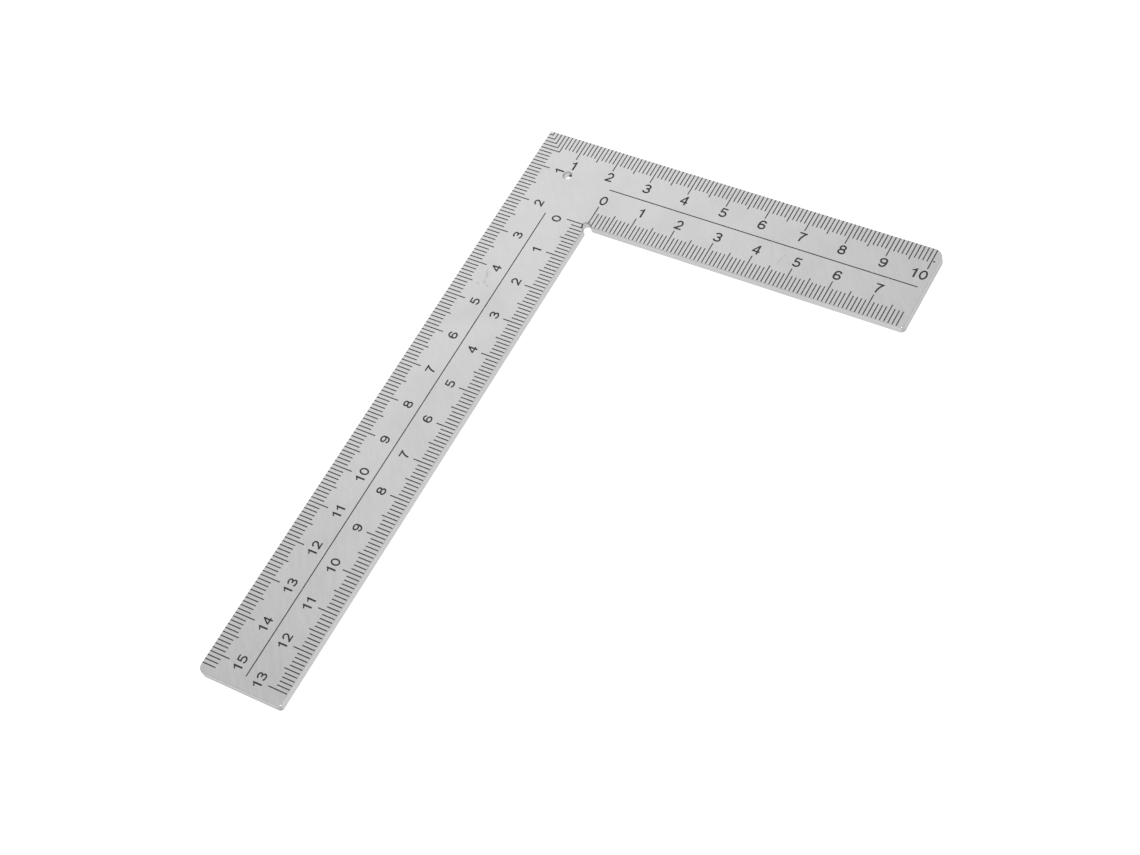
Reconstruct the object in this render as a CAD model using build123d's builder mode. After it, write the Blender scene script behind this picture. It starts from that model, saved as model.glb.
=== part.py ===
from build123d import *
import math
import os

os.makedirs("parts", exist_ok=True)

# A one-piece steel square ruler lying flat, with black-filled millimetre scales on its upper face.
# The origin is under the middle of the plate's box, on its underside: +X runs along the short arm,
# away from the outer corner, +Y runs back along the long arm, towards the outer corner, and +Z is up.

# --- The plate ---
SHORT_ARM = 102.0          # outer corner to the end of the short arm
LONG_ARM = 155.25          # outer corner to the end of the long arm
SHORT_ARM_WIDTH = 22.05
LONG_ARM_WIDTH = 22.0
THICKNESS = 2.0
EDGE_ROUND = 0.22          # deburring along every edge of both faces
SHORT_END_OUTER_ROUND = 2.5
SHORT_END_INNER_ROUND = 1.1
LONG_END_OUTER_ROUND = 1.8
LONG_END_INNER_ROUND = 0.9
RELIEF_RADIUS = 0.95       # round relief in the inner corner
RELIEF_MOUTH_ROUND = 0.8   # flare of the relief into the two inner edges
HOLE_RADIUS = 1.0          # hanging hole near the outer corner
HOLE_ALONG_SHORT = 10.5    # from the outer corner to the middle of the hole, along each arm
HOLE_ALONG_LONG = 10.5
HOLE_EDGE_BREAK = 0.14

# --- The filled marks ---
ETCH_DEPTH = 0.10          # depth of the pockets etched in the upper face
FILL_SINK = 0.01           # the black fill ends this far below the steel round it
MARKS_OFFSET = 0.17        # the marks were etched this far out of line, along the short arm
INNER_MARGIN = 0.26        # from the inner graduations to the inner edge of the arm
INNER_SHORT_ZERO = 21.97   # where the inner scales start, read on the outer scale of the same arm
INNER_LONG_ZERO = 21.87
CENTIMETRE = 10
HALF_CENTIMETRE = 5
TICK_WIDTH = 0.267
LINE_WIDTH = 0.267         # the line along the middle of each arm
LINE_INSET = 10.85         # from the outer edge to the middle of that line
LINE_START = 22.0          # where it starts and ends, read on the outer scale of its arm
SHORT_LINE_END = 100.0
LONG_LINE_END = 152.0
NEST_COUNT = 5             # graduations that join round the outer corner, each as long as its reading
SHORT_DIGIT = 2.54         # height of the digits on each arm
LONG_DIGIT = 2.35
DIGIT_STROKE = 0.165       # stroke of a digit, as a share of its height
DIGIT_PITCH = 0.832        # step between two digits of one numeral, as a share of its height
ELEVEN_PITCH = 0.732       # the same between two narrow digits

TOP = THICKNESS
CORNER_X = -SHORT_ARM / 2
CORNER_Y = LONG_ARM / 2


def drawing_plane(height, offset=0.0):
    """A level plane with its zero at the outer corner, or beside it along the short arm."""
    return Plane(origin=(CORNER_X + offset, CORNER_Y, height))


# --- Digits, one unit high, about their own middle, with strokes of even width ---

HALF_STROKE = DIGIT_STROKE / 2
DIGIT_TOP = 0.5 - HALF_STROKE            # height of a stroke that runs along the top
WAIST = 0.02                             # height where the two bowls of a three or an eight meet
UPPER_MIDDLE = (DIGIT_TOP + WAIST) / 2
UPPER_RADIUS = (DIGIT_TOP - WAIST) / 2
LOWER_MIDDLE = (WAIST - DIGIT_TOP) / 2
LOWER_RADIUS = (DIGIT_TOP + WAIST) / 2


def ring(middle_y, radius_x, radius_y):
    """A closed oval stroke, given by its middle line."""
    with Locations((0, middle_y)):
        Ellipse(radius_x + HALF_STROKE, radius_y + HALF_STROKE)


def ring_opening(middle_y, radius_x, radius_y):
    """The opening of such an oval stroke."""
    with Locations((0, middle_y)):
        Ellipse(radius_x - HALF_STROKE, radius_y - HALF_STROKE, mode=Mode.SUBTRACT)


def bar(low_x, high_x, low_y, high_y):
    """A straight stroke along X or Y."""
    with Locations(((low_x + high_x) / 2, (low_y + high_y) / 2)):
        Rectangle(high_x - low_x, high_y - low_y)


def stroke(path, width=DIGIT_STROKE):
    """An open stroke of even width along a path."""
    trace(path.edges(), line_width=width)


def draw_zero():
    ring(0, 0.293, DIGIT_TOP)
    ring_opening(0, 0.293, DIGIT_TOP)


def draw_one():
    with BuildLine() as outline:
        stem = Polyline((0.05, 0.5), (0.16, 0.5), (0.16, -0.5), (-0.02, -0.5), (-0.02, 0.235))
        flag = Polyline(stem @ 1, (-0.27, 0.13), (-0.27, 0.285))
        ThreePointArc(flag @ 1, (-0.085, 0.365), stem @ 0)
    make_face(outline.edges())


def draw_two():
    with BuildLine() as path:
        bowl = CenterArc((0.01, 0.16), DIGIT_TOP - 0.16, 172, -222)
        Line(bowl @ 1, bowl @ 1 + (bowl % 1) * 0.58)
    stroke(path)
    bar(-0.36, 0.36, -0.5, -0.5 + DIGIT_STROKE * 0.92)


def draw_three():
    with BuildLine() as upper:
        bowl = EllipticalCenterArc((0, UPPER_MIDDLE), 0.267, UPPER_RADIUS, 168, arc_size=-258)
        Line(bowl @ 1, (-0.09, WAIST))
    stroke(upper)
    with BuildLine() as lower:
        EllipticalCenterArc((0, LOWER_MIDDLE), 0.298, LOWER_RADIUS, 90, arc_size=-256)
    stroke(lower)


def draw_four():
    with BuildLine() as outline:
        Polyline(
            (-0.385, -0.27), (-0.385, -0.135), (0.065, 0.5), (0.215, 0.5), (0.215, -0.12), (0.345, -0.12),
            (0.345, -0.27), (0.215, -0.27), (0.215, -0.5), (0.05, -0.5), (0.05, -0.27), close=True,
        )
    make_face(outline.edges())
    with BuildLine() as opening:
        Polyline((-0.2, -0.12), (0.05, -0.12), (0.05, 0.23), close=True)
    make_face(opening.edges(), mode=Mode.SUBTRACT)


def draw_five():
    bar(-0.24, 0.33, 0.5 - DIGIT_STROKE * 0.92, 0.5)
    with BuildLine() as back:
        Line((-0.165, 0.49), (-0.24, 0.02))
    stroke(back, DIGIT_STROKE * 0.88)
    with BuildLine() as bowl:
        EllipticalCenterArc((0, -0.165), 0.303, DIGIT_TOP - 0.165, 143, arc_size=-303)
    stroke(bowl)


def draw_six():
    ring(-0.187, 0.292, DIGIT_TOP - 0.187)
    with BuildLine() as back:
        EllipticalCenterArc((0.02, 0), 0.312, DIGIT_TOP, 205, arc_size=-171)
    stroke(back)
    ring_opening(-0.187, 0.292, DIGIT_TOP - 0.187)


def draw_seven():
    bar(-0.355, 0.37, 0.5 - DIGIT_STROKE * 0.92, 0.5)
    with BuildLine() as leg:
        ThreePointArc((0.27, 0.42), (0.0, 0.01), (-0.105, -0.5))
    stroke(leg)


def draw_eight():
    ring(UPPER_MIDDLE, 0.25, UPPER_RADIUS)
    ring(LOWER_MIDDLE, 0.29, LOWER_RADIUS)
    ring_opening(UPPER_MIDDLE, 0.25, UPPER_RADIUS)
    ring_opening(LOWER_MIDDLE, 0.29, LOWER_RADIUS)


def digit_shape(draw):
    """The sketch of one digit."""
    with BuildSketch() as shape:
        draw()
    return shape.sketch


DIGITS = [
    digit_shape(draw)
    for draw in (
        draw_zero, draw_one, draw_two, draw_three, draw_four,
        draw_five, draw_six, draw_seven, draw_eight,
    )
]
DIGITS.append(DIGITS[6].rotate(Axis.Z, 180))


# --- Scales ---

class Scale:
    """One of the four scales: where it lies on its arm and how its marks are drawn.

    Along the arm, readings start at `zero` from the outer corner. Across it, graduations start at
    `base` from the outer edge and grow by the three lengths, inwards or, at the inner edge, outwards.
    Numerals of one and of two digits stand off their graduation by the two shifts, in the direction
    they are read, and a few have a shift of their own.
    """

    def __init__(self, arm, zero, first, last, base, lengths, digit_height, digit_middle, shifts, own_shifts):
        self.arm = arm
        self.zero = zero
        self.first = first
        self.last = last
        self.base = base
        self.lengths = lengths
        self.digit_height = digit_height
        self.digit_middle = digit_middle
        self.shifts = shifts
        self.own_shifts = own_shifts

    def place(self, along, across):
        """A point of the face, from its distances along the arm and in from the outer edge."""
        if self.arm == "short":
            return (along, -across)
        return (across, -along)

    def draw_graduations(self):
        """Every graduation, each a rectangle across the edge of the arm."""
        for reading in range(self.first, self.last + 1):
            if reading % CENTIMETRE == 0:
                length = self.lengths[2]
            elif reading % HALF_CENTIMETRE == 0:
                length = self.lengths[1]
            else:
                length = self.lengths[0]
            with Locations(self.place(self.zero + reading, self.base + length / 2)):
                if self.arm == "short":
                    Rectangle(TICK_WIDTH, abs(length))
                else:
                    Rectangle(abs(length), TICK_WIDTH)

    def draw_numerals(self, first_numeral):
        """A numeral in centimetres beside each centimetre graduation, read from left to right
        on the short arm and towards the outer corner on the long one."""
        height = self.digit_height
        reading_sign = 1 if self.arm == "short" else -1
        for numeral in range(first_numeral, self.last // CENTIMETRE + 1):
            text = str(numeral)
            shift = self.own_shifts.get(numeral, self.shifts[len(text) - 1])
            pitch = ELEVEN_PITCH if text == "11" else DIGIT_PITCH
            for index, character in enumerate(text):
                step = (index - (len(text) - 1) / 2) * pitch * height
                along = self.zero + numeral * CENTIMETRE + reading_sign * (shift + step)
                with Locations(self.place(along, self.digit_middle)):
                    shape = scale(DIGITS[int(character)], by=height, mode=Mode.PRIVATE)
                    add(shape, rotation=0 if self.arm == "short" else 90)


# Each set of lengths is for millimetres, half centimetres and centimetres.
OUTER_SHORT = Scale(
    "short", 0, NEST_COUNT + 1, 100, 0, (3.88, 4.73, 5.73),
    SHORT_DIGIT, 7.5, (0.2, -1.2), {1: 0.5},
)
INNER_SHORT = Scale(
    "short", INNER_SHORT_ZERO, 0, 78, SHORT_ARM_WIDTH - INNER_MARGIN, (-3.88, -4.76, -5.75),
    SHORT_DIGIT, 14.17, (0.28, 0.28), {1: 0.46},
)
OUTER_LONG = Scale(
    "long", 0, NEST_COUNT + 1, 153, -MARKS_OFFSET, (3.61, 4.41, 5.33),
    LONG_DIGIT, 7.85, (0.01, 0.12), {1: 0.04},
)
INNER_LONG = Scale(
    "long", INNER_LONG_ZERO, 0, 130, LONG_ARM_WIDTH - MARKS_OFFSET - INNER_MARGIN, (-3.27, -4.05, -4.97),
    LONG_DIGIT, 14.13, (0.16, 0.31), {0: -0.68, 1: -0.11, 10: -0.02, 11: 0.07},
)


def draw_nest():
    """Nested right angles round the outer corner, where the first graduations of both arms join."""
    for reading in range(1, NEST_COUNT + 1):
        leg = reading + TICK_WIDTH / 2
        with Locations((reading, -leg / 2)):
            Rectangle(TICK_WIDTH, leg)
        with Locations(((leg - MARKS_OFFSET) / 2, -reading)):
            Rectangle(leg + MARKS_OFFSET, TICK_WIDTH)


def draw_short_line():
    """The plain line along the middle of the short arm."""
    with Locations(((LINE_START + SHORT_LINE_END) / 2, -LINE_INSET)):
        Rectangle(SHORT_LINE_END - LINE_START, LINE_WIDTH)


def draw_long_line():
    """The plain line along the middle of the long arm."""
    with Locations((LINE_INSET, -(LINE_START + LONG_LINE_END) / 2)):
        Rectangle(LINE_WIDTH, LONG_LINE_END - LINE_START)


MARKS = {
    "outer_long_graduations": OUTER_LONG.draw_graduations,
    "inner_long_graduations": INNER_LONG.draw_graduations,
    "outer_short_graduations": OUTER_SHORT.draw_graduations,
    "inner_short_graduations": INNER_SHORT.draw_graduations,
    "outer_long_numerals": lambda: OUTER_LONG.draw_numerals(1),
    "inner_long_numerals": lambda: INNER_LONG.draw_numerals(0),
    "outer_short_numerals": lambda: OUTER_SHORT.draw_numerals(1),
    "inner_short_numerals": lambda: INNER_SHORT.draw_numerals(0),
    "long_arm_middle_line": draw_long_line,
    "short_arm_middle_line": draw_short_line,
    "corner_nest_lines": draw_nest,
}


# --- The steel before etching: one stamped plate with rounded edges ---

END_ROUNDS = (
    ((SHORT_ARM, 0), SHORT_END_OUTER_ROUND),
    ((SHORT_ARM, -SHORT_ARM_WIDTH), SHORT_END_INNER_ROUND),
    ((0, -LONG_ARM), LONG_END_OUTER_ROUND),
    ((LONG_ARM_WIDTH, -LONG_ARM), LONG_END_INNER_ROUND),
)

with BuildPart() as blank:
    with BuildSketch(drawing_plane(0)) as outline:
        with BuildLine():
            Polyline(
                (0, 0),
                (SHORT_ARM, 0),
                (SHORT_ARM, -SHORT_ARM_WIDTH),
                (LONG_ARM_WIDTH, -SHORT_ARM_WIDTH),
                (LONG_ARM_WIDTH, -LONG_ARM),
                (0, -LONG_ARM),
                close=True,
            )
        make_face()
        for corner, radius in END_ROUNDS:
            fillet(outline.vertices().sort_by_distance(Vector(*corner))[0], radius)
        inner_corner = (LONG_ARM_WIDTH, -SHORT_ARM_WIDTH)
        with Locations(inner_corner):
            Circle(RELIEF_RADIUS, mode=Mode.SUBTRACT)
        mouth = outline.vertices().sort_by_distance(Vector(*inner_corner))[:2]
        fillet(mouth, RELIEF_MOUTH_ROUND)
    extrude(amount=THICKNESS)
    faces = blank.faces().filter_by(Axis.Z)
    fillet(faces.edges(), EDGE_ROUND)
    with Locations((CORNER_X + HOLE_ALONG_SHORT, CORNER_Y - HOLE_ALONG_LONG, TOP)):
        Hole(HOLE_RADIUS)
    hole_rims = blank.edges().filter_by(GeomType.CIRCLE).filter_by(
        lambda edge: math.isclose(edge.radius, HOLE_RADIUS, abs_tol=1e-6) and edge.is_closed
    )
    chamfer(hole_rims, HOLE_EDGE_BREAK)

sunk_blank = Pos(0, 0, -FILL_SINK) * blank.part


# --- The black fills, one group of small solids for each set of marks ---

def fill_marks(name, draw):
    """Draws one set of marks, writes its fill and returns the pockets that it lies in."""
    floor = drawing_plane(TOP - ETCH_DEPTH, MARKS_OFFSET)
    with BuildSketch(floor) as marks:
        draw()
    with BuildPart() as fill:
        add(marks.sketch)
        extrude(amount=ETCH_DEPTH)
        add(sunk_blank, mode=Mode.INTERSECT)
    fill.part.label = name
    export_step(fill.part, f"parts/{name}.step")
    with BuildPart() as pockets:
        add(marks.sketch)
        extrude(amount=2 * ETCH_DEPTH)
    return pockets.part


pockets = [fill_marks(name, draw) for name, draw in MARKS.items()]


# --- The finished blade ---

with BuildPart() as steel_blade:
    add(blank.part)
    add(pockets, mode=Mode.SUBTRACT)
steel_blade.part.label = "steel_blade"
export_step(steel_blade.part, "parts/steel_blade.step")
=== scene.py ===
import functools
import math

import bmesh
import bpy
from bpy.props import FloatProperty, FloatVectorProperty, PointerProperty
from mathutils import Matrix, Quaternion, Vector, noise


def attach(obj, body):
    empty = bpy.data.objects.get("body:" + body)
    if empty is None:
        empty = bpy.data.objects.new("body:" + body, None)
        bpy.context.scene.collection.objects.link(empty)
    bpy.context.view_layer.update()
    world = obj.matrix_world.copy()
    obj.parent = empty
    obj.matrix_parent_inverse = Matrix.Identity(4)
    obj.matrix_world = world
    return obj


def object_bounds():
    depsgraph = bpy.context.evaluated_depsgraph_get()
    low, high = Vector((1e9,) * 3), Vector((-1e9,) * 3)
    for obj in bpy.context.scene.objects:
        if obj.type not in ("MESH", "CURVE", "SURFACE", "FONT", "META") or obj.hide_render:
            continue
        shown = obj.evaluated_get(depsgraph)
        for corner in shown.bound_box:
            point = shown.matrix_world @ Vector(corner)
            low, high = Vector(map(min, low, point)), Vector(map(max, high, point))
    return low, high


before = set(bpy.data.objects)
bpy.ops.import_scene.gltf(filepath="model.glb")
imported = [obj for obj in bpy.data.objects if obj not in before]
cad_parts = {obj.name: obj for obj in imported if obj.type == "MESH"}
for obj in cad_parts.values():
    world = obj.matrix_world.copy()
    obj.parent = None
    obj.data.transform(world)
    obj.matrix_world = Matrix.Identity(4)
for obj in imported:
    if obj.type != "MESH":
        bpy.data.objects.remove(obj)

bl_info = {
    "name": "Square Ruler Finishes",
    "version": (1, 0, 0),
    "blender": (4, 5, 0),
    "location": "3D View > Sidebar > Square Ruler",
    "description": "Brushed steel, black mark enamel, floor, light and camera for a steel square ruler",
    "category": "Object",
}

MM = 0.001
CAD_LOW, CAD_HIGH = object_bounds()
BLADE = "steel_blade"
BODY = "root"
FILLS = sorted(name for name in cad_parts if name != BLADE)
FACE = CAD_HIGH.z                                # height of the marked face
CORNER = Vector((CAD_LOW.x, CAD_HIGH.y, FACE))   # outer corner of the square, on that face

# Places on the marked face: from the outer corner, along the short arm and along the long arm.
HOLE_PLACE = (10.5 * MM, 10.5 * MM)
HOLE_RADIUS = 1.0 * MM
RELIEF_PLACE = (22.0 * MM, 22.05 * MM)
RELIEF_RADIUS = 0.95 * MM
SPECK_PLACE = (100.73 * MM, 3.4 * MM)


def on_face(along_short, along_long, above=0.0):
    """A point of the marked face, from its distances from the outer corner in metres."""
    return CORNER + Vector((along_short, -along_long, above))


def direction(azimuth, elevation):
    """A direction from its angle round the vertical, from +X, and its height above the horizon."""
    level = math.cos(elevation)
    return Vector((math.cos(azimuth) * level, math.sin(azimuth) * level, math.sin(elevation)))


# --- Settings ---

class SteelSettings(bpy.types.PropertyGroup):
    """Finish of the steel plate."""

    colour: FloatVectorProperty(
        name="Steel Colour", description="Colour of clean brushed steel",
        subtype="COLOR", size=3, min=0.0, max=1.0, default=(0.655, 0.655, 0.655),
    )
    roughness: FloatProperty(
        name="Roughness", description="Roughness of the brushed faces",
        subtype="FACTOR", min=0.0, max=1.0, default=0.32,
    )
    grain_angle: FloatProperty(
        name="Grain Angle", description="Direction of the brushing on both faces, from the short arm",
        subtype="ANGLE", unit="ROTATION", default=math.radians(-50.0),
    )
    grain_width: FloatProperty(
        name="Grain Width", description="Width of one brushed stroke",
        subtype="DISTANCE", unit="LENGTH", default=0.20 * MM,
    )
    grain_length: FloatProperty(
        name="Grain Length", description="Length of one brushed stroke",
        subtype="DISTANCE", unit="LENGTH", default=2.6 * MM,
    )
    grain_depth: FloatProperty(
        name="Grain Depth", description="Depth of the brushed strokes",
        subtype="DISTANCE", unit="LENGTH", default=0.0008 * MM,
    )
    edge_polish: FloatProperty(
        name="Edge Polish", description="How much smoother the rounded edges are worn than the faces",
        subtype="FACTOR", min=0.0, max=1.0, default=0.35,
    )
    tarnish: FloatProperty(
        name="Tarnish", description="How far handling has dulled the faces in soft patches",
        subtype="FACTOR", min=0.0, max=1.0, default=0.35,
    )


class EnamelSettings(bpy.types.PropertyGroup):
    """Black enamel baked into the etched marks."""

    colour: FloatVectorProperty(
        name="Enamel Colour", description="Colour of the mark filling",
        subtype="COLOR", size=3, min=0.0, max=1.0, default=(0.020, 0.020, 0.021),
    )
    roughness: FloatProperty(
        name="Roughness", description="Roughness of the baked enamel",
        subtype="FACTOR", min=0.0, max=1.0, default=0.5,
    )
    grit: FloatProperty(
        name="Grit", description="Size of the fine unevenness of the enamel",
        subtype="DISTANCE", unit="LENGTH", default=0.09 * MM,
    )
    speck_size: FloatProperty(
        name="Speck Size", description="Width of the stray drop of enamel beside the last centimetre mark",
        subtype="DISTANCE", unit="LENGTH", default=0.50 * MM,
    )


class StageSettings(bpy.types.PropertyGroup):
    """Floor, soft light and camera."""

    floor_colour: FloatVectorProperty(
        name="Floor Colour", description="Colour of the plain floor",
        subtype="COLOR", size=3, min=0.0, max=1.0, default=(0.3, 0.3, 0.3),
    )
    floor_glow: FloatProperty(
        name="Floor Glow", description="Light that the floor gives out, as a light table does",
        subtype="FACTOR", min=0.0, default=0.95,
    )
    floor_size: FloatProperty(
        name="Floor Size", description="Side of the square floor",
        subtype="DISTANCE", unit="LENGTH", default=6.0,
    )
    surroundings: FloatProperty(
        name="Surroundings", description="Strength of the light from all round",
        subtype="FACTOR", min=0.0, default=1.0,
    )
    softbox_azimuth: FloatProperty(
        name="Softbox Azimuth", description="Where the middle of the large soft light stands, from +X",
        subtype="ANGLE", unit="ROTATION", default=math.radians(138.0),
    )
    softbox_elevation: FloatProperty(
        name="Softbox Elevation", description="Height of that light above the horizon, as an angle",
        subtype="ANGLE", unit="ROTATION", default=math.radians(42.0),
    )
    lamp: FloatProperty(
        name="Camera Lamp", description="Power of the small lamp that stands above the camera",
        subtype="POWER", unit="POWER", min=0.0, default=1.2,
    )
    lens: FloatProperty(
        name="Lens", description="Focal length on a full-frame sensor, in millimetres",
        unit="CAMERA", default=73.2,
    )
    azimuth: FloatProperty(
        name="Azimuth", description="Direction the camera looks from, round the vertical",
        subtype="ANGLE", unit="ROTATION", default=math.radians(46.90),
    )
    elevation: FloatProperty(
        name="Elevation", description="Height of the camera above the horizon, as an angle",
        subtype="ANGLE", unit="ROTATION", default=math.radians(55.12),
    )
    roll: FloatProperty(
        name="Roll", description="Turn of the camera about its own line of sight",
        subtype="ANGLE", unit="ROTATION", default=math.radians(-21.05),
    )
    distance: FloatProperty(
        name="Distance", description="From the camera to the point it looks at",
        subtype="DISTANCE", unit="LENGTH", default=0.504,
    )
    aim_x: FloatProperty(
        name="Aim Along Short Arm", description="Point looked at, from the outer corner",
        subtype="DISTANCE", unit="LENGTH", default=45.60 * MM,
    )
    aim_y: FloatProperty(
        name="Aim Along Long Arm", description="Point looked at, from the outer corner",
        subtype="DISTANCE", unit="LENGTH", default=71.61 * MM,
    )


class RulerSettings(bpy.types.PropertyGroup):
    """All settings of the square ruler."""

    steel: PointerProperty(type=SteelSettings)
    enamel: PointerProperty(type=EnamelSettings)
    stage: PointerProperty(type=StageSettings)


# --- Shader expressions ---

class Signal:
    """A socket of a node tree that takes part in Python expressions."""

    def __init__(self, tree, socket=None):
        self.tree = tree
        self.socket = socket

    def node(self, kind, settings=None, sockets=None, output=0):
        """Adds a node: its settings first, then the values or links of its sockets."""
        node = self.tree.nodes.new(kind)
        for name, value in (settings or {}).items():
            if name == "stops":
                self.set_stops(node.color_ramp, value)
            else:
                setattr(node, name, value)
        for key, value in (sockets or {}).items():
            if isinstance(value, Signal):
                self.tree.links.new(value.socket, node.inputs[key])
            else:
                node.inputs[key].default_value = value
        return Signal(self.tree, node.outputs[output] if len(node.outputs) else None)

    @staticmethod
    def set_stops(ramp, stops):
        """Gives a colour ramp its stops, each a position and a grey level."""
        while len(ramp.elements) < len(stops):
            ramp.elements.new(1.0)
        for element, (position, level) in zip(ramp.elements, stops):
            element.position = position
            element.color = (level, level, level, 1.0)

    def math(self, operation, *values, clamp=False):
        return self.node(
            "ShaderNodeMath", {"operation": operation, "use_clamp": clamp}, dict(enumerate(values))
        )

    def __add__(self, other):
        return self.math("ADD", self, other)

    __radd__ = __add__

    def __mul__(self, other):
        return self.math("MULTIPLY", self, other)

    __rmul__ = __mul__

    def __sub__(self, other):
        return self.math("SUBTRACT", self, other)

    def __rsub__(self, other):
        return self.math("SUBTRACT", other, self)

    def __abs__(self):
        return self.math("ABSOLUTE", self)

    def larger(self, other):
        """The larger of two signals, which joins two masks."""
        return self.math("MAXIMUM", self, other)

    def clamped(self):
        return self.math("ADD", self, 0.0, clamp=True)

    def eased(self, low, high, start, end):
        """From start at low to end at high, smooth between and level beyond."""
        return self.node(
            "ShaderNodeMapRange", {"interpolation_type": "SMOOTHSTEP"},
            {"Value": self, "From Min": low, "From Max": high, "To Min": start, "To Max": end},
        )

    def rise(self, low, high):
        """0 below low, 1 above high and smooth between."""
        return self.eased(low, high, 0.0, 1.0)

    def fall(self, low, high):
        """1 below low, 0 above high and smooth between."""
        return self.eased(low, high, 1.0, 0.0)

    def part(self, axis):
        """One coordinate of a vector: 0, 1 or 2."""
        return self.node("ShaderNodeSeparateXYZ", None, {"Vector": self}, axis)

    def laid(self, sizes, turn=0.0):
        """This vector turned about Z and measured in cells of the given sizes, or of one size."""
        if not isinstance(sizes, tuple):
            sizes = (sizes,) * 3
        return self.node(
            "ShaderNodeMapping", {"vector_type": "TEXTURE"},
            {"Vector": self, "Rotation": (0.0, 0.0, turn), "Scale": sizes},
        )

    def laid_from(self, point, sizes, turn=0.0):
        """This vector from a point on, then laid out in cells."""
        from_point = self.node("ShaderNodeVectorMath", {"operation": "ADD"}, {0: self, 1: tuple(-point)})
        return from_point.laid(sizes, turn)

    def far_from(self, point=(0.0, 0.0, 0.0)):
        """Distance of this vector from a point."""
        return self.node(
            "ShaderNodeVectorMath", {"operation": "DISTANCE"}, {0: self, 1: tuple(point)}, "Value"
        )

    def cloud(self, detail=2.0, rough=0.5, distortion=0.0):
        """Soft noise from 0 to 1, one cell of this vector to a bump."""
        return self.node(
            "ShaderNodeTexNoise", {"noise_dimensions": "3D"},
            {"Vector": self, "Scale": 1.0, "Detail": detail, "Roughness": rough, "Distortion": distortion},
        )

    def blend(self, colour_off, colour_on):
        """A colour between two others, with this signal as the share of the second."""
        return self.node(
            "ShaderNodeMix", {"data_type": "RGBA"},
            {"Factor": self, 6: colour_off, 7: colour_on}, 2,
        )

    def bump(self, height, strength, depth):
        """The normal of a surface that a height raises by up to a depth."""
        return self.node(
            "ShaderNodeBump", {"invert": False},
            {"Strength": strength, "Distance": depth, "Height": height},
        )


def new_material(name):
    """An empty material and its tree, ready to take nodes."""
    material = bpy.data.materials.new(name)
    material.use_nodes = True
    material.node_tree.nodes.clear()
    return material, Signal(material.node_tree)


def object_place(tree):
    """Where a point of the surface lies, in its object's own coordinates."""
    return tree.node("ShaderNodeTexCoord", None, None, "Object")


def finish_surface(tree, sockets):
    """Ends a material with one surface shader."""
    shader = tree.node("ShaderNodeBsdfPrincipled", {"distribution": "MULTI_GGX"}, sockets)
    tree.node("ShaderNodeOutputMaterial", {"target": "ALL"}, {"Surface": shader})


def rgba(colour, share=1.0):
    """A colour property as a node colour, scaled."""
    return tuple(channel * share for channel in colour) + (1.0,)


def set_material(piece, material):
    """Gives a piece one material in all its slots."""
    if not piece.material_slots:
        piece.data.materials.append(material)
    for material_slot in piece.material_slots:
        material_slot.material = material


# --- Steel ---

# Faint handling marks on the marked face: distance along the short arm, along the long arm,
# half length, half width, all in millimetres, and the turn of the mark in degrees.
HANDLING_MARKS = (
    (6.8, 42.4, 1.6, 0.38, -68.0),
    (8.5, 45.1, 0.48, 0.42, 0.0),
    (6.1, 45.3, 0.55, 0.30, -45.0),
    (7.3, 44.3, 1.00, 0.30, -60.0),
    (68.6, 15.0, 1.70, 0.20, 77.0),
    (69.0, 13.4, 0.40, 0.28, 60.0),
)
HANDLING_MARK_REACH = 1.0 * MM       # above and below the face
FRAY_CELL = 0.7 * MM
FRAY = 0.9                           # how ragged the handling marks are, in half widths
HANDLING_MARK_FADE = (0.25, 1.15)    # where they start and stop fading, in half widths

# Painted shade deep in the hanging hole and on the inner relief's rim: the side of each, as angles from
# +X.
HOLE_SHADE_SIDE = math.radians(72.0)
HOLE_SHADE_CELL = 0.66 * MM
HOLE_SHADE_DEPTH = 2.2               # in those cells, below the marked face
HOLE_SHADE_FADE = (0.80, 1.35)
RELIEF_SHADE_SIDE = math.radians(208.0)
RELIEF_SHADE_STRENGTH = 0.85
RELIEF_SHADE_WIDTH = (0.04, 0.24)    # to each side of the rim, in millimetres
RELIEF_SHADE_LENGTH = (0.45, 0.80)   # along the rim, in millimetres
ANY_HEIGHT = 1.0                     # a cell so tall that heights on the plate count for nothing

# Cells of the steel's patterns. The grain's are in strokes: length, width and depth.
COARSE_GRAIN = (2.2, 5.0, 5.0)
CROSSING_GRAIN = (0.7, 1.6, 1.0)
CROSSING_TURN = 0.32
SCRATCH_CELL = 3.0 * MM
WALL_GRAIN_CELL = (6.0 * MM, 6.0 * MM, 0.10 * MM)
SHEAR_CELL = (0.35 * MM, 0.35 * MM, 2.5 * MM)
PATCH_CELL = 16.0 * MM
MOTTLE_CELL = (1.8 * MM, 1.1 * MM, 1.1 * MM)
NICK_CELL = 0.5 * MM

# Where masks start and stop fading: how far the normal stands up, levels of a noise, or distances.
FACE_UPRIGHT = (0.90, 0.995)
WALL_UPRIGHT = (0.05, 0.35)
SCRATCH_LEVELS = (0.66, 0.78)
SCRATCHED_LEVELS = (0.5, 0.68)
NICK_LEVELS = (0.62, 0.72)
HOLE_RIM_REACH = (1.4 * MM, 1.7 * MM)
HOLE_WALL_REACH = (1.6 * MM, 1.8 * MM)
RELIEF_RIM_REACH = (1.4 * MM, 1.9 * MM)
CORNER_WEAR_REACH = (0.6 * MM, 1.4 * MM)

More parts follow.
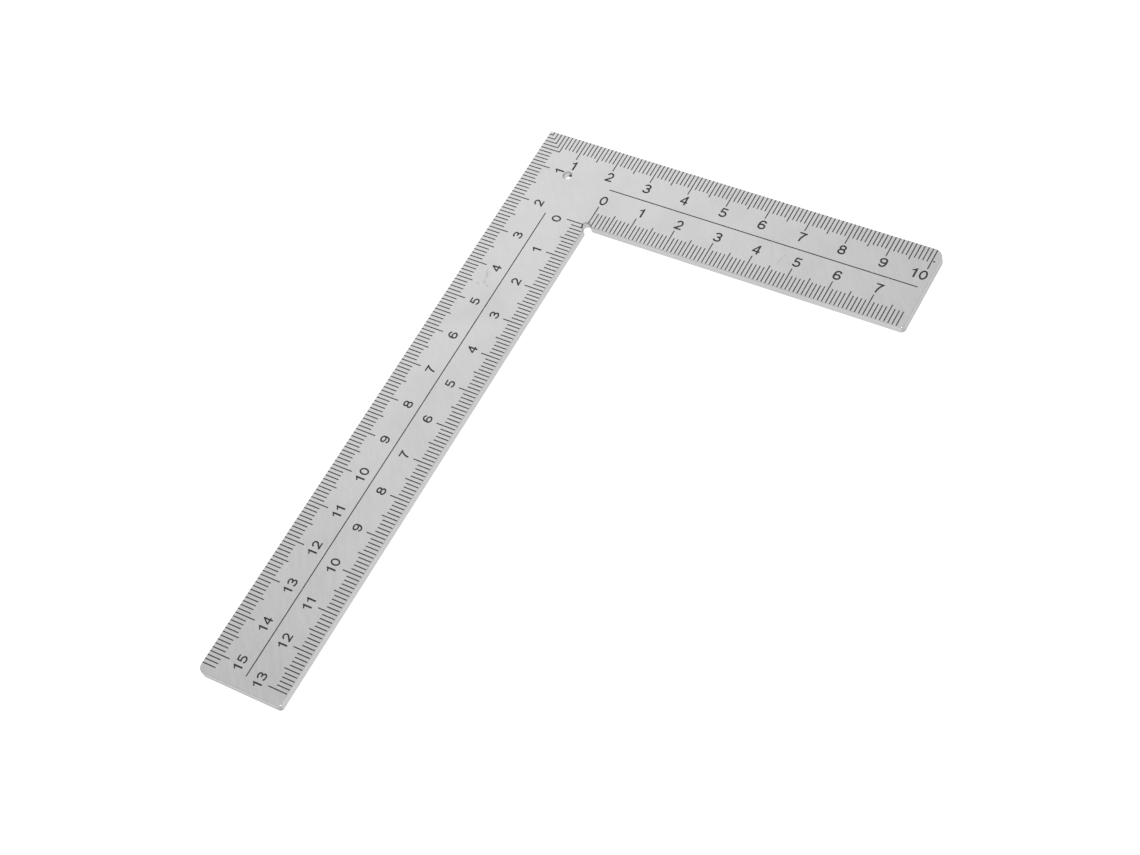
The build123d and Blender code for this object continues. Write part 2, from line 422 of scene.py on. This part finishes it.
EVEN = 0.5                           # the middle of a noise
TARNISH_START = 0.45                 # level of the patch noise above which the steel is dulled
COARSE_STREAK = 0.9                  # share of the coarse grain in the streaks
FINE_STREAK = 0.5
END_WALL_START = 0.9 * MM            # from the far end of an arm, where its end wall fades in
END_WALL_FULL = 0.3 * MM
# painted shade on the end walls, as a share of the steel's colour
SHORT_END_PAINTED_SHADE = 0.15
LONG_END_PAINTED_SHADE = 0.23
HOLE_MIDDLE = -1.0 * MM              # height of the hole's middle, from the marked face
# painted light on the hanging hole's wall, as a share of the steel's colour
HOLE_WALL_PAINTED_LIGHT = 0.13
SHORT_CORNER_WEAR = 1.5
LONG_CORNER_WEAR = 0.5

# How much each feature lightens or darkens the steel, as a share of its colour.
STREAK_LIGHT = 0.24
MOTTLE_LIGHT = 0.07
TARNISH_LIGHT = 0.28
SMEAR_LIGHT = 0.11
SCRATCH_LIGHT = 0.06
EDGE_LIGHT = 0.05
# painted shade on the rounded rims of the hole and the relief
RIM_PAINTED_SHADE = 0.42
NICK_LIGHT = 0.10
WALL_GRAIN_LIGHT = 0.14
# painted shade on every cut wall
WALL_PAINTED_SHADE = 0.24
# painted shade deep in the hanging hole and on the relief's rim
RECESS_PAINTED_SHADE = 0.96

# How much each feature roughens or smooths it.
GRAIN_ROUGHNESS = 0.10
MOTTLE_ROUGHNESS = 0.06
TARNISH_ROUGHNESS = 0.25
SMEAR_ROUGHNESS = 0.06
EDGE_SMOOTHNESS = 0.5
NICK_ROUGHNESS = 0.1
RIM_ROUGHNESS = 0.25
CORNER_SMOOTHNESS = 0.14

# How deep each feature is, in depths of the fine grain.
COARSE_DEPTH = 0.6
WALL_GRAIN_DEPTH = 0.8
SHEAR_DEPTH = 0.5
SCRATCH_DEPTH = 1.2
NICK_DEPTH = 4.0


def handling_marks(place):
    """Where a few faint smears lie on the marked face, 0 to 1."""
    frayed = place.laid(FRAY_CELL).cloud(2.0) - EVEN
    smears = []
    for along_short, along_long, half_length, half_width, turn in HANDLING_MARKS:
        centre = on_face(along_short * MM, along_long * MM)
        sizes = (half_length * MM, half_width * MM, HANDLING_MARK_REACH)
        local = place.laid_from(centre, sizes, math.radians(turn))
        smears.append((local.far_from() + frayed * FRAY).fall(*HANDLING_MARK_FADE))
    return functools.reduce(Signal.larger, smears)


def painted_recess_shade(place):
    """Painted shade, dark deep in the hanging hole on the side of the short arm,
    and on the rim of the inner relief, between the first two marks of the long arm; 0 to 1."""
    hole_side = on_face(*HOLE_PLACE) + direction(HOLE_SHADE_SIDE, 0.0) * HOLE_RADIUS
    from_side = place.laid_from(hole_side, HOLE_SHADE_CELL)
    in_hole = from_side.far_from((0.0, 0.0, -HOLE_SHADE_DEPTH)).fall(*HOLE_SHADE_FADE)

    relief = on_face(*RELIEF_PLACE)
    from_axis = place.laid_from(relief, (MM, MM, ANY_HEIGHT)).far_from()
    rim = abs(from_axis - RELIEF_RADIUS / MM).fall(*RELIEF_SHADE_WIDTH)
    relief_side = relief + direction(RELIEF_SHADE_SIDE, 0.0) * RELIEF_RADIUS
    on_side = place.laid_from(relief_side, MM).far_from().fall(*RELIEF_SHADE_LENGTH)
    return in_hole.larger(rim * on_side * RELIEF_SHADE_STRENGTH)


def dull_and_shaded_rims(place):
    """Round the hanging hole and the inner relief, where the punch left the rims dull and their rounding
    has painted shade; 0 to 1.
    """
    hole = place.far_from(on_face(*HOLE_PLACE)).fall(*HOLE_RIM_REACH)
    relief = place.far_from(on_face(*RELIEF_PLACE)).fall(*RELIEF_RIM_REACH)
    return hole.larger(relief)


def worn_corners(place):
    """At the inner corner of each arm's end, where wear has polished the rounding."""
    short_corner = place.far_from(Vector((CAD_HIGH.x, CORNER.y - RELIEF_PLACE[1], FACE)))
    long_corner = place.far_from(Vector((CORNER.x + RELIEF_PLACE[0], CAD_LOW.y, FACE)))
    short_wear = short_corner.fall(*CORNER_WEAR_REACH) * SHORT_CORNER_WEAR
    return short_wear + long_corner.fall(*CORNER_WEAR_REACH) * LONG_CORNER_WEAR


def painted_end_shade(place):
    """Painted shade at the far end of each arm, where the end wall is painted darker than the other walls.
    """
    short_reach = place.part(0)
    long_reach = place.part(1) * -1.0
    short_end = short_reach.rise(CAD_HIGH.x - END_WALL_START, CAD_HIGH.x - END_WALL_FULL)
    long_end = long_reach.rise(-CAD_LOW.y - END_WALL_START, -CAD_LOW.y - END_WALL_FULL)
    return short_end * SHORT_END_PAINTED_SHADE + long_end * LONG_END_PAINTED_SHADE


def stroke_cell(settings, shares):
    """A cell of the brushing, from its share of a stroke's length, width and depth."""
    length, width, depth = shares
    return (settings.grain_length * length, settings.grain_width * width, settings.grain_width * depth)


class SteelPatterns:
    """The masks and noises that the colour, roughness and relief of the steel share."""

    def __init__(self, tree, settings):
        place = object_place(tree)
        upright = abs(tree.node("ShaderNodeNewGeometry", None, None, "Normal").part(2))
        self.face = upright.rise(*FACE_UPRIGHT)
        self.wall = upright.fall(*WALL_UPRIGHT)
        self.edge = (1.0 - self.face) * (1.0 - self.wall)

        turn = settings.grain_angle
        self.fine = place.laid(stroke_cell(settings, (1.0, 1.0, 1.0)), turn).cloud(3.0, 0.6)
        self.coarse = place.laid(stroke_cell(settings, COARSE_GRAIN), turn).cloud(2.0, 0.55)
        crossing_cell = stroke_cell(settings, CROSSING_GRAIN)
        crossing = place.laid(crossing_cell, turn + CROSSING_TURN).cloud(2.0, 0.5)
        scratched = place.laid(SCRATCH_CELL).cloud(1.0).rise(*SCRATCHED_LEVELS)
        self.scratch = crossing.rise(*SCRATCH_LEVELS) * scratched
        self.streak = (self.fine - EVEN) * FINE_STREAK + (self.coarse - EVEN) * COARSE_STREAK
        self.wall_grain = place.laid(WALL_GRAIN_CELL).cloud(2.0, 0.6)
        self.shear = place.laid(SHEAR_CELL).cloud(2.0, 0.5)

        patches = place.laid(PATCH_CELL).cloud(3.0, 0.55, 0.4)
        self.tarnish = (patches - TARNISH_START).clamped() * settings.tarnish
        self.mottle = place.laid(MOTTLE_CELL, turn).cloud(3.0, 0.6)
        self.nicks = place.laid(NICK_CELL).cloud(2.0).rise(*NICK_LEVELS) * self.edge
        self.smear = handling_marks(place)
        # painted shade deep in the hanging hole and on the relief's rim
        self.stray = painted_recess_shade(place)
        self.rims = dull_and_shaded_rims(place)
        self.wear = worn_corners(place)
        # painted shade on the end walls of both arms
        self.painted_end_shade = painted_end_shade(place)
        # where the hanging hole's wall gets painted light
        self.inside_hole = place.far_from(on_face(*HOLE_PLACE, HOLE_MIDDLE)).fall(*HOLE_WALL_REACH)


def steel_light(look):
    """How light the steel is, as a share of its colour."""
    light = 1.0 + look.streak * look.face * STREAK_LIGHT
    light = light + (look.mottle - EVEN) * MOTTLE_LIGHT * look.face
    light = light - look.tarnish * TARNISH_LIGHT
    light = light - look.smear * SMEAR_LIGHT - look.scratch * SCRATCH_LIGHT
    # rounded edges a little lighter, with painted shade on the rims of the hole and the relief
    light = light + look.edge * (EDGE_LIGHT - look.rims * RIM_PAINTED_SHADE) - look.nicks * NICK_LIGHT
    # walls: their grain, painted shade on every wall and more on the end walls, painted light on the
    # hole's wall
    wall = (look.wall_grain - EVEN) * WALL_GRAIN_LIGHT - WALL_PAINTED_SHADE
    wall = wall - look.painted_end_shade + look.inside_hole * HOLE_WALL_PAINTED_LIGHT
    light = light + wall * look.wall
    # darkened by the painted shade in the hole and on the relief's rim
    return light * (1.0 - look.stray * RECESS_PAINTED_SHADE)


def steel_roughness(look, settings):
    """Rougher where it is dulled, smoother where the edges are worn."""
    rough = settings.roughness + (look.coarse - EVEN) * GRAIN_ROUGHNESS * look.face
    rough = rough + (look.mottle - EVEN) * MOTTLE_ROUGHNESS
    rough = rough + look.tarnish * TARNISH_ROUGHNESS + look.smear * SMEAR_ROUGHNESS
    worn = settings.edge_polish * settings.roughness * EDGE_SMOOTHNESS
    rough = rough - look.edge * worn + look.nicks * NICK_ROUGHNESS
    rough = rough + (look.rims * RIM_ROUGHNESS - look.wear * CORNER_SMOOTHNESS) * look.edge
    return rough.clamped()


def steel_relief(look):
    """Height of the surface, in depths of the fine grain."""
    relief = (look.fine + look.coarse * COARSE_DEPTH) * look.face
    relief = relief + look.wall_grain * look.wall * WALL_GRAIN_DEPTH
    relief = relief + look.shear * look.wall * SHEAR_DEPTH
    return relief - look.scratch * SCRATCH_DEPTH - look.nicks * NICK_DEPTH


def make_steel(settings):
    """Finely brushed steel: diagonal grain on both faces, lengthwise grain on cut walls painted darker as
    shade, smooth rounded edges that are dull round the punched holes, soft patches and handling marks;
    painted shade on the end walls, round the rims and in the hole, and painted light on the hole's wall."""
    material, tree = new_material("brushed_blade_steel")
    look = SteelPatterns(tree, settings)
    tint = tree.node(
        "ShaderNodeVectorMath", {"operation": "SCALE"},
        {0: tuple(settings.colour), "Scale": steel_light(look)},
    )
    finish_surface(tree, {
        "Base Color": tint,
        "Metallic": 1.0,
        "Roughness": steel_roughness(look, settings),
        "Normal": tree.bump(steel_relief(look), 1.0, settings.grain_depth),
    })
    return material


class SQUARERULER_OT_steel_blade(bpy.types.Operator):
    """Gives the steel plate its brushed finish"""

    bl_idname = "squareruler.steel_blade"
    bl_label = "Finish Steel Blade"

    def execute(self, context):
        steel = make_steel(context.scene.square_ruler.steel)
        set_material(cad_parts[BLADE], steel)
        return {"FINISHED"}


# --- Enamel ---

ENAMEL = "baked_mark_enamel"
ENAMEL_IOR = 1.5
THIN_CELL = 0.8 * MM                 # of the spots where the enamel lies thin
THIN_LEVELS = (0.55, 0.8)
GRIT_SHARE = 0.5                     # of the grit and of the thin spots in the enamel's paleness
THIN_SHARE = 0.35
PALENESS = 0.25
DARKEST = 0.8                        # in shares of the enamel's colour
PALEST = 2.4
GRIT_ROUGHNESS = 0.2
THIN_ROUGHNESS = 0.1
GRIT_STRENGTH = 0.6
GRIT_DEPTH = 0.004 * MM

SPECK = "stray_enamel_speck"
SPECK_HEIGHT = 0.012 * MM
SPECK_FACETS = 4                     # how often the speck's mesh is divided
SPECK_SWELL = 0.22                   # how far its outline wanders, as a share of its size
SPECK_LUMPS = 1.7                    # how closely the lumps of that outline follow one another
SPECK_NARROWING = 0.8                # width along the long arm, as a share of that along the short


def make_enamel(settings):
    """Baked black enamel: nearly even, a little gritty, greyer where it lies thin."""
    material, tree = new_material(ENAMEL)
    place = object_place(tree)
    grit = place.laid(settings.grit).cloud(2.0, 0.6)
    thin = place.laid(THIN_CELL).cloud(3.0, 0.6).rise(*THIN_LEVELS)
    pale = ((grit - EVEN) * GRIT_SHARE + thin * THIN_SHARE + PALENESS).clamped()
    rough = settings.roughness + (grit - EVEN) * GRIT_ROUGHNESS + thin * THIN_ROUGHNESS
    finish_surface(tree, {
        "Base Color": pale.blend(rgba(settings.colour, DARKEST), rgba(settings.colour, PALEST)),
        "Metallic": 0.0,
        "Roughness": rough.clamped(),
        "IOR": ENAMEL_IOR,
        "Normal": tree.bump(grit, GRIT_STRENGTH, GRIT_DEPTH),
    })
    return material


class SQUARERULER_OT_mark_fills(bpy.types.Operator):
    """Gives every filled mark its black enamel"""

    bl_idname = "squareruler.mark_fills"
    bl_label = "Finish Mark Fills"

    def execute(self, context):
        enamel = make_enamel(context.scene.square_ruler.enamel)
        for name in FILLS:
            set_material(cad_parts[name], enamel)
        return {"FINISHED"}


class SQUARERULER_OT_enamel_speck(bpy.types.Operator):
    """Adds the stray drop of enamel beside the last centimetre mark of the short arm"""

    bl_idname = "squareruler.enamel_speck"
    bl_label = "Add Enamel Speck"

    def execute(self, context):
        radius = context.scene.square_ruler.enamel.speck_size / 2
        drop = bmesh.new()
        bmesh.ops.create_icosphere(drop, subdivisions=SPECK_FACETS, radius=radius)
        for vertex in drop.verts:
            outward = vertex.co.normalized()
            swell = 1.0 + SPECK_SWELL * noise.noise(outward * SPECK_LUMPS)
            vertex.co.x *= swell
            vertex.co.y *= swell * SPECK_NARROWING
            vertex.co.z = outward.z * SPECK_HEIGHT
        mesh = bpy.data.meshes.new(SPECK)
        drop.to_mesh(mesh)
        drop.free()
        for polygon in mesh.polygons:
            polygon.use_smooth = True
        speck = bpy.data.objects.new(SPECK, mesh)
        context.scene.collection.objects.link(speck)
        speck.location = on_face(*SPECK_PLACE)
        set_material(speck, bpy.data.materials[ENAMEL])
        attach(speck, BODY)
        return {"FINISHED"}


# --- Stage ---

# Level of the surroundings against the cosine of the angle from the middle of the softbox.
SURROUNDINGS = (
    (-0.60, 0.46), (-0.15, 0.42), (0.05, 0.74), (0.65, 0.74), (0.80, 0.46), (0.90, 0.44),
    (0.945, 0.69), (0.972, 1.20), (0.992, 1.30),
)
BRIGHTEST = max(level for cosine, level in SURROUNDINGS)

FLOOR_GAP = 0.02 * MM                # from the underside of the plate down to the floor
FLOOR_ROUGHNESS = 0.9
FLOOR_SHEEN = 0.2
WHITE = (1.0, 1.0, 1.0, 1.0)

# The lamp stands on the camera's side of the outer corner, steeper and farther than the camera.
LAMP_WIDTH = 0.16
LAMP_AZIMUTH = math.radians(-44.0)
LAMP_ELEVATION = math.radians(70.0)
LAMP_DISTANCE = 0.9

FULL_FRAME_WIDTH = 36.0              # millimetres, as camera sensors are given
NEAR_CLIP = 0.01
FAR_CLIP = 20.0
CAMERA_AXIS = Vector((0.0, 0.0, 1.0))


def make_floor(settings):
    """A plain floor just under the plate, so that the two never share a plane."""
    half = settings.floor_size / 2
    height = CAD_LOW.z - FLOOR_GAP
    corners = [(-half, -half, height), (half, -half, height), (half, half, height), (-half, half, height)]
    mesh = bpy.data.meshes.new("floor")
    mesh.from_pydata(corners, [], [(0, 1, 2, 3)])
    floor = bpy.data.objects.new("floor", mesh)
    bpy.context.scene.collection.objects.link(floor)
    material, tree = new_material("plain_floor")
    finish_surface(tree, {
        "Base Color": rgba(settings.floor_colour),
        "Roughness": FLOOR_ROUGHNESS,
        "Specular IOR Level": FLOOR_SHEEN,
        "Emission Color": WHITE,
        "Emission Strength": settings.floor_glow,
    })
    set_material(floor, material)


def make_surroundings(settings):
    """Dim surroundings with one large soft light that fades out at its edges."""
    world = bpy.data.worlds.new("softbox_and_room")
    world.use_nodes = True
    world.node_tree.nodes.clear()
    bpy.context.scene.world = world
    tree = Signal(world.node_tree)
    middle = direction(settings.softbox_azimuth, settings.softbox_elevation)
    towards = tree.node("ShaderNodeTexCoord", None, None, "Generated")
    closeness = tree.node(
        "ShaderNodeVectorMath", {"operation": "DOT_PRODUCT"},
        {0: towards, 1: tuple(middle)}, "Value",
    )
    stops = [((cosine + 1.0) / 2.0, level / BRIGHTEST) for cosine, level in SURROUNDINGS]
    shade = tree.node("ShaderNodeValToRGB", {"stops": stops}, {"Fac": (closeness + 1.0) * 0.5})
    background = tree.node(
        "ShaderNodeBackground", None, {"Color": shade, "Strength": settings.surroundings * BRIGHTEST}
    )
    tree.node("ShaderNodeOutputWorld", None, {"Surface": background})


def make_lamp(settings):
    """A small lamp above the camera, aimed at the outer corner."""
    light = bpy.data.lights.new("camera_lamp", "AREA")
    light.shape = "DISK"
    light.size = LAMP_WIDTH
    light.energy = settings.lamp
    lamp = bpy.data.objects.new("camera_lamp", light)
    bpy.context.scene.collection.objects.link(lamp)
    lamp.location = CORNER + direction(LAMP_AZIMUTH, LAMP_ELEVATION) * LAMP_DISTANCE
    lamp.rotation_mode = "QUATERNION"
    lamp.rotation_quaternion = (CORNER - lamp.location).to_track_quat("-Z", "Y")


def make_camera(settings):
    """The camera, aimed at a point of the marked face. Its azimuth turns it from -Y towards +X."""
    camera_data = bpy.data.cameras.new("camera")
    camera_data.sensor_width = FULL_FRAME_WIDTH
    camera_data.lens = settings.lens
    camera_data.clip_start = NEAR_CLIP
    camera_data.clip_end = FAR_CLIP
    camera = bpy.data.objects.new("camera", camera_data)
    bpy.context.scene.collection.objects.link(camera)
    level = math.cos(settings.elevation)
    back = Vector((
        math.sin(settings.azimuth) * level,
        -math.cos(settings.azimuth) * level,
        math.sin(settings.elevation),
    ))
    camera.location = on_face(settings.aim_x, settings.aim_y) + back * settings.distance
    camera.rotation_mode = "QUATERNION"
    facing = (-back).to_track_quat("-Z", "Y")
    camera.rotation_quaternion = facing @ Quaternion(CAMERA_AXIS, settings.roll)
    bpy.context.scene.camera = camera


class SQUARERULER_OT_stage(bpy.types.Operator):
    """Makes the floor, the soft light, the lamp and the camera"""

    bl_idname = "squareruler.stage"
    bl_label = "Make Stage"

    def execute(self, context):
        settings = context.scene.square_ruler.stage
        make_floor(settings)
        make_surroundings(settings)
        make_lamp(settings)
        make_camera(settings)
        view = context.scene.view_settings
        view.view_transform = "Standard"
        view.look = "None"
        view.exposure = 0.0
        view.gamma = 1.0
        return {"FINISHED"}


# --- Panel and registration ---

class SQUARERULER_PT_panel(bpy.types.Panel):
    """Settings and steps of the square ruler"""

    bl_label = "Square Ruler"
    bl_idname = "SQUARERULER_PT_panel"
    bl_space_type = "VIEW_3D"
    bl_region_type = "UI"
    bl_category = "Square Ruler"

    def draw(self, context):
        settings = context.scene.square_ruler
        groups = (("Steel", settings.steel), ("Enamel", settings.enamel), ("Stage", settings.stage))
        for title, group in groups:
            box = self.layout.box()
            box.label(text=title)
            for name in group.__annotations__:
                box.prop(group, name)
        for operator in OPERATORS:
            self.layout.operator(operator.bl_idname)


OPERATORS = (
    SQUARERULER_OT_steel_blade,
    SQUARERULER_OT_mark_fills,
    SQUARERULER_OT_enamel_speck,
    SQUARERULER_OT_stage,
)
CLASSES = (
    SteelSettings,
    EnamelSettings,
    StageSettings,
    RulerSettings,
    *OPERATORS,
    SQUARERULER_PT_panel,
)


def register():
    for cls in CLASSES:
        bpy.utils.register_class(cls)
    bpy.types.Scene.square_ruler = PointerProperty(type=RulerSettings)


def unregister():
    del bpy.types.Scene.square_ruler
    for cls in reversed(CLASSES):
        bpy.utils.unregister_class(cls)


def main():
    register()
    bpy.ops.squareruler.stage()
    bpy.ops.squareruler.steel_blade()
    bpy.ops.squareruler.mark_fills()
    bpy.ops.squareruler.enamel_speck()


if __name__ == "__main__":
    main()
